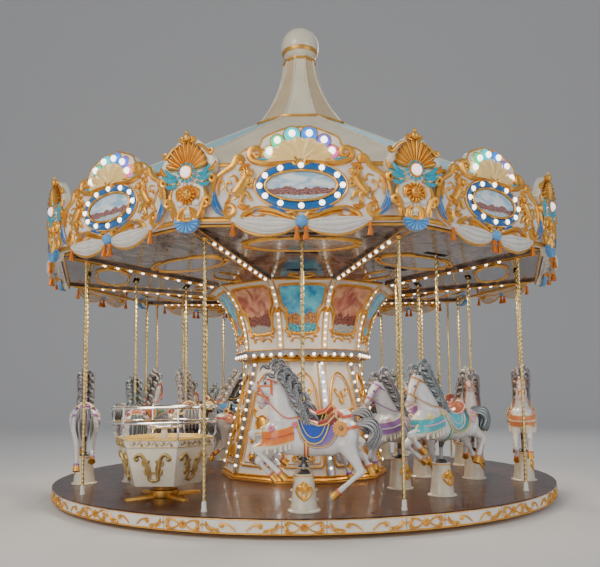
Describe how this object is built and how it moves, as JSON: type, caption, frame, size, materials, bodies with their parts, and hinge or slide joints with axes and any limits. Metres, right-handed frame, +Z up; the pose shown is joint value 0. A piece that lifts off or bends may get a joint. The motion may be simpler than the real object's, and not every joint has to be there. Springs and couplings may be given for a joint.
{
  "type": "merry-go-round",
  "caption": "Round fairground ride: a turning deck and lit canopy on a central mast, with jumping horses on poles and a spinning tub.",
  "frame": {"origin": "centre of the ride on the ground, under the mast", "axes": "+Z up along the mast; -Y faces the front of the ride, where the front horse looks along -X; +X to the right"},
  "size_m": [8.44, 8.2742, 8.0915],
  "materials": {
    "base_steel": "satin",
    "mast_steel": "satin",
    "bearing_steel": "satin",
    "motor_paint": "satin",
    "drive_rubber": "matte",
    "deck_lacquer": "gloss",
    "valance_paint": "gloss",
    "ceiling_paint": "gloss",
    "crown_paint": "gloss",
    "column_mirror": "gloss",
    "crest_paint": "gloss",
    "roof_canvas": "satin",
    "spire_canvas": "satin",
    "finial_paint": "gloss",
    "gold_leaf": "satin",
    "tub_paint": "gloss",
    "rim_brass": "satin",
    "crank_steel": "satin",
    "horse_paint": "gloss",
    "bulb_glass": "gloss",
    "chrome_trim": "gloss",
    "saddle_paint": "gloss",
    "swag_paint": "gloss",
    "picture_paint": "satin"
  },
  "bodies": {
    "base": {"base_frame": "base_steel", "centre_mast": "mast_steel", "slew_bearing": "bearing_steel", "drive_motor": "motor_paint"},
    "turntable": {"deck_frame": "base_steel", "deck": "deck_lacquer", "rim_valance": "valance_paint", "canopy_frame": "mast_steel", "ceiling": "ceiling_paint", "crown_housing": "crown_paint", "column_housing": "column_mirror", "fascia": "crest_paint", "roof": "roof_canvas", "spire": "spire_canvas", "finial": "finial_paint", "rim_pole_1": "rim_brass", "rim_pole_2": "rim_brass", "rim_pole_3": "rim_brass", "rim_pole_4": "rim_brass", "rim_pole_5": "rim_brass", "rim_pole_6": "rim_brass", "rim_pole_7": "rim_brass", "rim_pole_8": "rim_brass", "rim_pole_9": "rim_brass", "rim_pole_10": "rim_brass", "tub_base": "gold_leaf"},
    "drive_wheel": {"drive_wheel": "drive_rubber"},
    "crankshaft_1": {"crankshaft_1": "crank_steel"},
    "horse_1_outer": {"horse_1_outer": "horse_paint"},
    "horse_1_middle": {"horse_1_middle": "horse_paint"},
    "horse_1_inner": {"horse_1_inner": "horse_paint"},
    "crankshaft_2": {"crankshaft_2": "crank_steel"},
    "horse_2_outer": {"horse_2_outer": "horse_paint"},
    "horse_2_inner": {"horse_2_inner": "horse_paint"},
    "crankshaft_3": {"crankshaft_3": "crank_steel"},
    "horse_3_outer": {"horse_3_outer": "horse_paint"},
    "horse_3_middle": {"horse_3_middle": "horse_paint"},
    "horse_3_inner": {"horse_3_inner": "horse_paint"},
    "crankshaft_4": {"crankshaft_4": "crank_steel"},
    "horse_4_outer": {"horse_4_outer": "horse_paint"},
    "horse_4_inner": {"horse_4_inner": "horse_paint"},
    "crankshaft_5": {"crankshaft_5": "crank_steel"},
    "horse_5_outer": {"horse_5_outer": "horse_paint"},
    "horse_5_middle": {"horse_5_middle": "horse_paint"},
    "horse_5_inner": {"horse_5_inner": "horse_paint"},
    "crankshaft_6": {"crankshaft_6": "crank_steel"},
    "horse_6_outer": {"horse_6_outer": "horse_paint"},
    "horse_6_inner": {"horse_6_inner": "horse_paint"},
    "crankshaft_7": {"crankshaft_7": "crank_steel"},
    "horse_7_outer": {"horse_7_outer": "horse_paint"},
    "horse_7_middle": {"horse_7_middle": "horse_paint"},
    "horse_7_inner": {"horse_7_inner": "horse_paint"},
    "crankshaft_8": {"crankshaft_8": "crank_steel"},
    "horse_8_outer": {"horse_8_outer": "horse_paint"},
    "horse_8_inner": {"horse_8_inner": "horse_paint"},
    "crankshaft_9": {"crankshaft_9": "crank_steel"},
    "horse_9_outer": {"horse_9_outer": "horse_paint"},
    "horse_9_middle": {"horse_9_middle": "horse_paint"},
    "horse_9_inner": {"horse_9_inner": "horse_paint"},
    "tub": {"tub": "tub_paint"}
  },
  "joints": [
    {"name": "carousel_turn", "type": "hinge", "parent": "base", "child": "turntable", "pos_m": [0, 0, 0.12], "axis": [0, 0, 1], "continuous": true},
    {"name": "drive_wheel_spin", "type": "hinge", "parent": "base", "child": "drive_wheel", "pos_m": [0.478, 0, 0.155], "axis": [0, 0, 1], "continuous": true},
    {"name": "crankshaft_1_spin", "type": "hinge", "parent": "turntable", "child": "crankshaft_1", "pos_m": [0, -2, 4.09], "axis": [0, -1, 0], "continuous": true},
    {"name": "horse_1_outer_jump", "type": "slide", "parent": "turntable", "child": "horse_1_outer", "axis": [0, 0, 1], "range_m": [-0.119, 0.221]},
    {"name": "horse_1_middle_jump", "type": "slide", "parent": "turntable", "child": "horse_1_middle", "axis": [0, 0, 1], "range_m": [-0.221, 0.119]},
    {"name": "horse_1_inner_jump", "type": "slide", "parent": "turntable", "child": "horse_1_inner", "axis": [0, 0, 1], "range_m": [-0.119, 0.221]},
    {"name": "crankshaft_2_spin", "type": "hinge", "parent": "turntable", "child": "crankshaft_2", "pos_m": [1.1756, -1.618, 4.09], "axis": [0.5878, -0.809, 0], "continuous": true},
    {"name": "horse_2_outer_jump", "type": "slide", "parent": "turntable", "child": "horse_2_outer", "axis": [0, 0, 1], "range_m": [-0.204, 0.136]},
    {"name": "horse_2_inner_jump", "type": "slide", "parent": "turntable", "child": "horse_2_inner", "axis": [0, 0, 1], "range_m": [-0.136, 0.204]},
    {"name": "crankshaft_3_spin", "type": "hinge", "parent": "turntable", "child": "crankshaft_3", "pos_m": [1.9021, -0.618, 4.09], "axis": [0.9511, -0.309, 0], "continuous": true},
    {"name": "horse_3_outer_jump", "type": "slide", "parent": "turntable", "child": "horse_3_outer", "axis": [0, 0, 1], "range_m": [-0.1955, 0.1445]},
    {"name": "horse_3_middle_jump", "type": "slide", "parent": "turntable", "child": "horse_3_middle", "axis": [0, 0, 1], "range_m": [-0.1445, 0.1955]},
    {"name": "horse_3_inner_jump", "type": "slide", "parent": "turntable", "child": "horse_3_inner", "axis": [0, 0, 1], "range_m": [-0.1955, 0.1445]},
    {"name": "crankshaft_4_spin", "type": "hinge", "parent": "turntable", "child": "crankshaft_4", "pos_m": [1.9021, 0.618, 4.09], "axis": [0.9511, 0.309, 0], "continuous": true},
    {"name": "horse_4_outer_jump", "type": "slide", "parent": "turntable", "child": "horse_4_outer", "axis": [0, 0, 1], "range_m": [-0.289, 0.051]},
    {"name": "horse_4_inner_jump", "type": "slide", "parent": "turntable", "child": "horse_4_inner", "axis": [0, 0, 1], "range_m": [-0.051, 0.289]},
    {"name": "crankshaft_5_spin", "type": "hinge", "parent": "turntable", "child": "crankshaft_5", "pos_m": [1.1756, 1.618, 4.09], "axis": [0.5878, 0.809, 0], "continuous": true},
    {"name": "horse_5_outer_jump", "type": "slide", "parent": "turntable", "child": "horse_5_outer", "axis": [0, 0, 1], "range_m": [-0.085, 0.255]},
    {"name": "horse_5_middle_jump", "type": "slide", "parent": "turntable", "child": "horse_5_middle", "axis": [0, 0, 1], "range_m": [-0.255, 0.085]},
    {"name": "horse_5_inner_jump", "type": "slide", "parent": "turntable", "child": "horse_5_inner", "axis": [0, 0, 1], "range_m": [-0.085, 0.255]},
    {"name": "crankshaft_6_spin", "type": "hinge", "parent": "turntable", "child": "crankshaft_6", "pos_m": [0, 2, 4.09], "axis": [0, 1, 0], "continuous": true},
    {"name": "horse_6_outer_jump", "type": "slide", "parent": "turntable", "child": "horse_6_outer", "axis": [0, 0, 1], "range_m": [-0.272, 0.068]},
    {"name": "horse_6_inner_jump", "type": "slide", "parent": "turntable", "child": "horse_6_inner", "axis": [0, 0, 1], "range_m": [-0.068, 0.272]},
    {"name": "crankshaft_7_spin", "type": "hinge", "parent": "turntable", "child": "crankshaft_7", "pos_m": [-1.1756, 1.618, 4.09], "axis": [-0.5878, 0.809, 0], "continuous": true},
    {"name": "horse_7_outer_jump", "type": "slide", "parent": "turntable", "child": "horse_7_outer", "axis": [0, 0, 1], "range_m": [-0.051, 0.289]},
    {"name": "horse_7_middle_jump", "type": "slide", "parent": "turntable", "child": "horse_7_middle", "axis": [0, 0, 1], "range_m": [-0.289, 0.051]},
    {"name": "horse_7_inner_jump", "type": "slide", "parent": "turntable", "child": "horse_7_inner", "axis": [0, 0, 1], "range_m": [-0.051, 0.289]},
    {"name": "crankshaft_8_spin", "type": "hinge", "parent": "turntable", "child": "crankshaft_8", "pos_m": [-1.9021, 0.618, 4.09], "axis": [-0.9511, 0.309, 0], "continuous": true},
    {"name": "horse_8_outer_jump", "type": "slide", "parent": "turntable", "child": "horse_8_outer", "axis": [0, 0, 1], "range_m": [-0.255, 0.085]},
    {"name": "horse_8_inner_jump", "type": "slide", "parent": "turntable", "child": "horse_8_inner", "axis": [0, 0, 1], "range_m": [-0.085, 0.255]},
    {"name": "crankshaft_9_spin", "type": "hinge", "parent": "turntable", "child": "crankshaft_9", "pos_m": [-1.9021, -0.618, 4.09], "axis": [-0.9511, -0.309, 0], "continuous": true},
    {"name": "horse_9_outer_jump", "type": "slide", "parent": "turntable", "child": "horse_9_outer", "axis": [0, 0, 1], "range_m": [-0.221, 0.119]},
    {"name": "horse_9_middle_jump", "type": "slide", "parent": "turntable", "child": "horse_9_middle", "axis": [0, 0, 1], "range_m": [-0.119, 0.221]},
    {"name": "horse_9_inner_jump", "type": "slide", "parent": "turntable", "child": "horse_9_inner", "axis": [0, 0, 1], "range_m": [-0.221, 0.119]},
    {"name": "tub_spin", "type": "hinge", "parent": "turntable", "child": "tub", "pos_m": [-1.8655, -2.3877, 0.45], "axis": [0, 0, 1], "continuous": true}
  ],
  "couplings": [
    {"joint": "drive_wheel_spin", "follows": "carousel_turn", "ratio": 5},
    {"joint": "crankshaft_1_spin", "follows": "carousel_turn", "ratio": -4},
    {"joint": "horse_1_middle_jump", "follows": "horse_1_outer_jump", "ratio": -1},
    {"joint": "horse_1_inner_jump", "follows": "horse_1_outer_jump", "ratio": 1},
    {"joint": "crankshaft_2_spin", "follows": "carousel_turn", "ratio": -4},
    {"joint": "horse_2_inner_jump", "follows": "horse_2_outer_jump", "ratio": -1},
    {"joint": "crankshaft_3_spin", "follows": "carousel_turn", "ratio": -4},
    {"joint": "horse_3_middle_jump", "follows": "horse_3_outer_jump", "ratio": -1},
    {"joint": "horse_3_inner_jump", "follows": "horse_3_outer_jump", "ratio": 1},
    {"joint": "crankshaft_4_spin", "follows": "carousel_turn", "ratio": -4},
    {"joint": "horse_4_inner_jump", "follows": "horse_4_outer_jump", "ratio": -1},
    {"joint": "crankshaft_5_spin", "follows": "carousel_turn", "ratio": -4},
    {"joint": "horse_5_middle_jump", "follows": "horse_5_outer_jump", "ratio": -1},
    {"joint": "horse_5_inner_jump", "follows": "horse_5_outer_jump", "ratio": 1},
    {"joint": "crankshaft_6_spin", "follows": "carousel_turn", "ratio": -4},
    {"joint": "horse_6_inner_jump", "follows": "horse_6_outer_jump", "ratio": -1},
    {"joint": "crankshaft_7_spin", "follows": "carousel_turn", "ratio": -4},
    {"joint": "horse_7_middle_jump", "follows": "horse_7_outer_jump", "ratio": -1},
    {"joint": "horse_7_inner_jump", "follows": "horse_7_outer_jump", "ratio": 1},
    {"joint": "crankshaft_8_spin", "follows": "carousel_turn", "ratio": -4},
    {"joint": "horse_8_inner_jump", "follows": "horse_8_outer_jump", "ratio": -1},
    {"joint": "crankshaft_9_spin", "follows": "carousel_turn", "ratio": -4},
    {"joint": "horse_9_middle_jump", "follows": "horse_9_outer_jump", "ratio": -1},
    {"joint": "horse_9_inner_jump", "follows": "horse_9_outer_jump", "ratio": 1}
  ]
}
